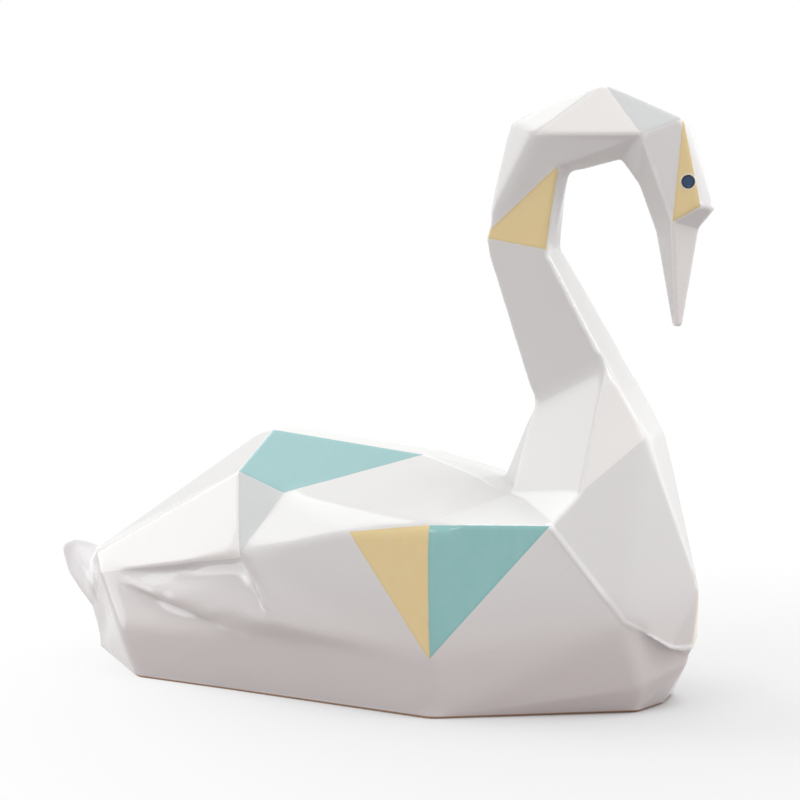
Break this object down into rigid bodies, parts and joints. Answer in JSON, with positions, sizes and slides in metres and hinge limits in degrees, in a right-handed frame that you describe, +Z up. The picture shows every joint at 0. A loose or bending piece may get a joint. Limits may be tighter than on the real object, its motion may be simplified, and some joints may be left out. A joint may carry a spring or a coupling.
{
  "type": "swan figurine",
  "caption": "Faceted porcelain swan on a flat foot, with folded wings, an arched neck and coloured enamel facets.",
  "frame": {"origin": "middle of the length and width, in the plane that the foot stands on", "axes": "+X forward towards the beak, +Y towards the swan's left, +Z up"},
  "size_m": [0.2792, 0.1216, 0.2202],
  "materials": {
    "glaze": "clear gloss glaze over white porcelain, with teal and yellow enamel on some facets"
  },
  "bodies": {
    "root": {"swan": "glaze"}
  },
  "joints": []
}
